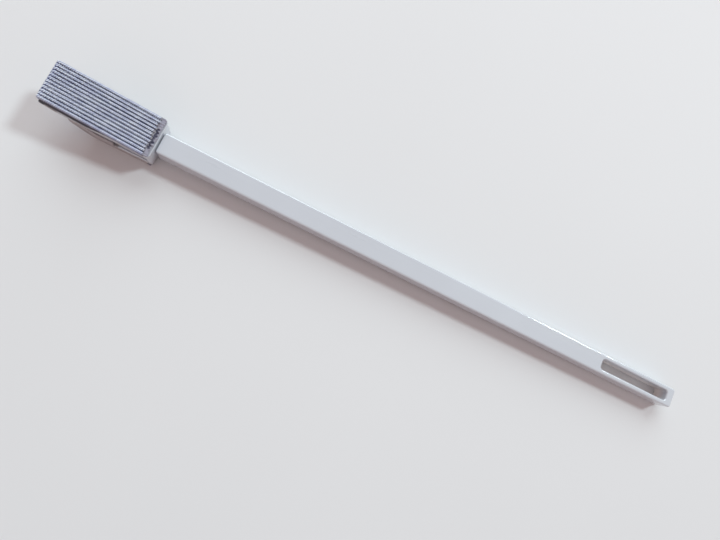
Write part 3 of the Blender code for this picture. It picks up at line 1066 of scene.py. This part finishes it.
@dataclass
class Hem:
    """One folded end of a cover: a low uneven roll with overlock stitches.

    The dark thread shows from dark_from to dark_to across the tool, and its half width changes between
    the two values of thread_half. Only the hem in sight is frayed.
    """

    side: Side
    end: End
    frayed_spread: float = 0.85 * MM
    frayed_height: float = 0.72
    spread_change: float = 0.45
    height_change: float = 0.15
    end_round: float = 0.8 * MM
    end_size: float = 0.5
    squareness: float = 0.6
    fill: float = 0.97
    stitch_pitch: float = 1.3 * MM
    stitch_slant: float = 1.2
    stitch_swell: float = 0.10
    stitch_pile: float = 0.15
    dark_from: float = -6.6 * MM
    dark_to: float = 4.7 * MM
    dark_fade: float = 1.0 * MM
    dark_edge: float = 0.3 * MM
    dark_sunk: float = 0.35
    thread_middle: float = -0.05 * MM
    thread_wander: float = 0.50 * MM
    thread_half: tuple[float, float] = (0.65 * MM, 1.70 * MM)
    step: float = 0.15 * MM
    around: int = 28
    knots: int = 30
    seed: int = 5

    @property
    def node(self) -> str:
        """The solid that this hem replaces."""
        return f"{self.side.value}_{self.end.value}_hem"

    @property
    def frayed(self) -> bool:
        """Whether this is the hem in sight, which is flattened and spread towards the handle."""
        return self.side is Side.UPPER and self.end is End.OUTER

    def build(self) -> bpy.types.Object:
        """Builds the roll from its solid's box. The frayed one spreads past it towards the handle.

        Returns:
            The hem.
        """
        low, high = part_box(self.node)
        half = (high - low) / 2
        count = int((high.y - low.y) / self.step)
        across = np.linspace(low.y, high.y, count)[:, None]
        angle = np.linspace(0, 2 * np.pi, self.around, endpoint=False)[None, :]
        stitch = 2 * np.pi * across / self.stitch_pitch + np.cos(angle) * self.stitch_slant
        over = 0.5 + 0.5 * np.cos(stitch)
        edge = np.clip(np.minimum(across - low.y, high.y - across) / self.end_round, 0, 1)
        swell = 1 - self.stitch_swell + self.stitch_swell * over
        swell = swell * (self.end_size + (1 - self.end_size) * np.sqrt(1 - (1 - edge) ** 2))
        chance = np.random.default_rng(self.seed)
        spread = self.frayed_spread if self.frayed else 0.0
        wide = half.x + spread / 2 * (1 + self.spread_change * self._run(across, chance, -1, 1))
        height = self.frayed_height if self.frayed else 1.0
        tall = half.z * height * (1 + self.height_change * self._run(across, chance, -1, 1))
        x = low.x + wide + self._squared(np.cos(angle)) * swell * wide * self.fill
        dark = self._dark(x - low.x - half.x, across, chance)
        sunk = 1 - self.dark_sunk * dark
        z = low.z + tall + self._squared(np.sin(angle)) * swell * tall * self.fill * sunk
        corners = np.stack([x, np.broadcast_to(across, x.shape), z], axis=2)
        faces = [tuple(reversed(face)) for face in loop_faces(count, self.around)]
        pile = np.clip(1 - dark + self.stitch_pile * over, 0, 1)
        return new_piece(self.node + "_roll", corners, faces, {"pile": pile})

    def _squared(self, ratio: np.ndarray) -> np.ndarray:
        """A sine or cosine drawn out towards a square, for a section with full corners."""
        return np.sign(ratio) * np.abs(ratio) ** self.squareness

    def _run(self, across: np.ndarray, chance: np.random.Generator, low: float, high: float) -> np.ndarray:
        """A number that changes unevenly along the hem."""
        knots = np.linspace(across.min(), across.max(), self.knots)
        return np.interp(across, knots, chance.uniform(low, high, self.knots))

    def _dark(self, out: np.ndarray, across: np.ndarray, chance: np.random.Generator) -> np.ndarray:
        """Where the dark thread shows between the frayed ends.

        Args:
            out: How far each point lies from the hem's middle line, towards the handle.
            across: Where it lies across the hem.
            chance: The random numbers.

        Returns:
            1 on the dark thread, 0 on the pale fluff.
        """
        middle = self.thread_middle + self._run(across, chance, -self.thread_wander, self.thread_wander)
        half = self._run(across, chance, *self.thread_half)
        before_end = np.clip((self.dark_to - across) / self.dark_fade + 0.5, 0, 1)
        after_start = np.clip((across - self.dark_from) / self.dark_fade + 0.5, 0, 1)
        shown = half * before_end * after_start
        return np.clip((shown - np.abs(out - middle)) / self.dark_edge, 0, 1)

    def dress(self, made: bpy.types.Object, finish: FoldedEdge) -> None:
        """Gives the hem its finish and its place in the frame.

        Args:
            made: The hem.
            finish: Its finish.
        """
        made.data.materials.append(finish.material(self.node + "_yarn"))
        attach(made, self.side.body)
        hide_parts(self.node)


@dataclass
class HardParts:
    """The moulded, foam and metal pieces, which keep their solids."""

    plastic: MouldedPlastic
    steel: ScrewSteel
    foam: FoamSheet
    weld_reach: float = 0.001 * MM
    flat_angle: float = math.radians(0.5)
    crease_angle: float = math.radians(35)
    face_weight: int = 100
    same_weight: float = 0.00001

    def dress(self, nodes: dict[str, bpy.types.Object]) -> None:
        """Gives each carried-over solid its finish.

        Args:
            nodes: The frame's solids by name.
        """
        for name, thing in nodes.items():
            if name.startswith(("handle", "upper_jaw", "lower_jaw")):
                self._coat(thing, self.plastic.material(name + "_white", name.startswith("handle")))
            elif name.startswith("jaw_screw"):
                self._coat(thing, self.steel.material(name + "_zinc"))
            elif name.endswith("foam"):
                self._coat(thing, self.foam.material(name + "_sheet"))

    def _coat(self, thing: bpy.types.Object, material: bpy.types.Material) -> None:
        """Puts one material on a solid and shades its rounded edges smoothly.

        Args:
            thing: The solid.
            material: Its material.
        """
        thing.data.materials.clear()
        thing.data.materials.append(material)
        thing.data.polygons.foreach_set("use_smooth", [True] * len(thing.data.polygons))
        weld = thing.modifiers.new("weld", "WELD")
        weld.merge_threshold = self.weld_reach
        flats = thing.modifiers.new("flats", "DECIMATE")
        flats.decimate_type = "DISSOLVE"
        flats.angle_limit = self.flat_angle
        creases = thing.modifiers.new("creases", "EDGE_SPLIT")
        creases.split_angle = self.crease_angle
        shading = thing.modifiers.new("shading", "WEIGHTED_NORMAL")
        shading.weight = self.face_weight
        shading.thresh = self.same_weight
        LOG.info("dressed %s", thing.name)


@dataclass(frozen=True)
class Lamp:
    """A distant lamp. Its softness is how wide it looks, in degrees."""

    name: str
    comes_from: Triple
    strength: float
    softness: float
    colour: Colour

    def hang(self) -> None:
        """Adds the lamp to the scene."""
        data = bpy.data.lights.new(self.name, "SUN")
        data.energy = self.strength
        data.angle = math.radians(self.softness)
        data.color = self.colour
        lamp = bpy.data.objects.new(self.name, data)
        lamp.rotation_euler = Vector(self.comes_from).to_track_quat("Z", "Y").to_euler()
        bpy.context.scene.collection.objects.link(lamp)


@dataclass
class Studio:
    """Camera, table and lamps, at the photograph's angle."""

    camera_at: Triple = (-0.05242, -0.06138, 0.29002)
    lens: float = 27.05
    sensor: float = 36.0
    near_limit: float = 0.01
    right: Triple = (0.88789, 0.41415, 0.20033)
    up: Triple = (-0.43793, 0.89428, 0.09215)
    table_touch_x: float = -132.5 * MM
    far_end_lift: float = 2.8 * MM
    far_end_distance: float = 317.5 * MM
    table_span: float = 3.0
    table: TableTop = TableTop()
    lamps: tuple[Lamp, ...] = (
        Lamp("window_lamp", (0.68, 0.63, 1.0), 1.25, 9.0, COOL_DAYLIGHT),
        Lamp("wide_lamp", (-0.33, 1.25, 0.92), 1.80, 52.0, COOL_DAYLIGHT),
        Lamp("fill_lamp", (-0.10, -1.0, 0.25), 0.38, 70.0, WARM_BOUNCE),
    )
    room_light: Colour = (1.0, 0.775, 0.735)
    room_strength: float = 0.42
    backdrop: Colour = (0.70, 0.71, 0.73)

    def place_camera(self) -> None:
        """Makes the camera."""
        data = bpy.data.cameras.new("photo_camera")
        data.lens = self.lens
        data.sensor_width = self.sensor
        data.clip_start = self.near_limit
        camera = bpy.data.objects.new("photo_camera", data)
        right = Vector(self.right).normalized()
        back = right.cross(Vector(self.up)).normalized()
        up = back.cross(right)
        axes = Matrix((right, up, back)).transposed()
        camera.matrix_world = Matrix.Translation(self.camera_at) @ axes.to_4x4()
        bpy.context.scene.collection.objects.link(camera)
        bpy.context.scene.camera = camera

    def lay_table(self) -> None:
        """Lays the table under the tool, which rests on its lower cover and its far end."""
        half = self.table_span / 2
        rise = self.far_end_lift / self.far_end_distance
        square = ((-half, -half), (half, -half), (half, half), (-half, half))
        corners = [(x, y, (x - self.table_touch_x) * rise) for x, y in square]
        mesh = bpy.data.meshes.new("table_top")
        mesh.from_pydata(corners, [], [(0, 1, 2, 3)])
        made = bpy.data.objects.new("table_top", mesh)
        bpy.context.scene.collection.objects.link(made)
        mesh.materials.append(self.table.material("table_top"))

    def light(self) -> None:
        """Hangs the lamps and sets the room: its even light, and the pale backdrop that is seen."""
        for lamp in self.lamps:
            lamp.hang()
        web = Web(bpy.data.worlds.new("room"))
        bpy.context.scene.world = web.owner
        web.set(Color=self.room_light, Strength=self.room_strength)
        rays = web.add("ShaderNodeLightPath", {}, {}).outputs
        direct, glossy, through = (
            Value(web, rays[f"Is {kind} Ray"]) for kind in ("Camera", "Glossy", "Transmission")
        )
        backdrop = web.add("ShaderNodeBackground", {}, {"Color": self.backdrop, "Strength": 1.0})
        ends = {1: web.shader.outputs[0], 2: backdrop.outputs[0]}
        room = web.add("ShaderNodeMixShader", {}, {0: (direct + glossy + through).clamped(), **ends})
        web.tree.links.new(room.outputs[0], web.tree.nodes["World Output"].inputs["Surface"])

    def build(self) -> None:
        """Builds the whole stage."""
        self.place_camera()
        self.lay_table()
        self.light()
        bpy.context.scene.view_settings.view_transform = "Standard"


def clear_startup() -> None:
    """Removes what the startup scene holds."""
    for thing in list(bpy.data.objects):
        bpy.data.objects.remove(thing, do_unlink=True)


def main() -> None:
    """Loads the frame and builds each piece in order."""
    logging.basicConfig(level=logging.INFO, format="%(name)s: %(message)s")
    clear_startup()
    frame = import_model()
    Studio().build()
    HardParts(MouldedPlastic(), ScrewSteel(), FoamSheet()).dress(frame["nodes"])
    lines = JawLines()
    hem_finishes = {
        End.OUTER: FoldedEdge(),
        End.INNER: FoldedEdge(yarn=(0.15, 0.135, 0.13), fluff=(0.28, 0.27, 0.28)),
    }
    for side in Side:
        cover = KnitCover(side, lines)
        made = cover.build()
        cover.dress(made, Microfibre())
        LOG.info("built %s with %d points", made.name, len(made.data.vertices))
        for end in End:
            hem = Hem(side, end)
            hem.dress(hem.build(), hem_finishes[end])
            LOG.info("built %s", hem.node)


if __name__ == "__main__":
    main()
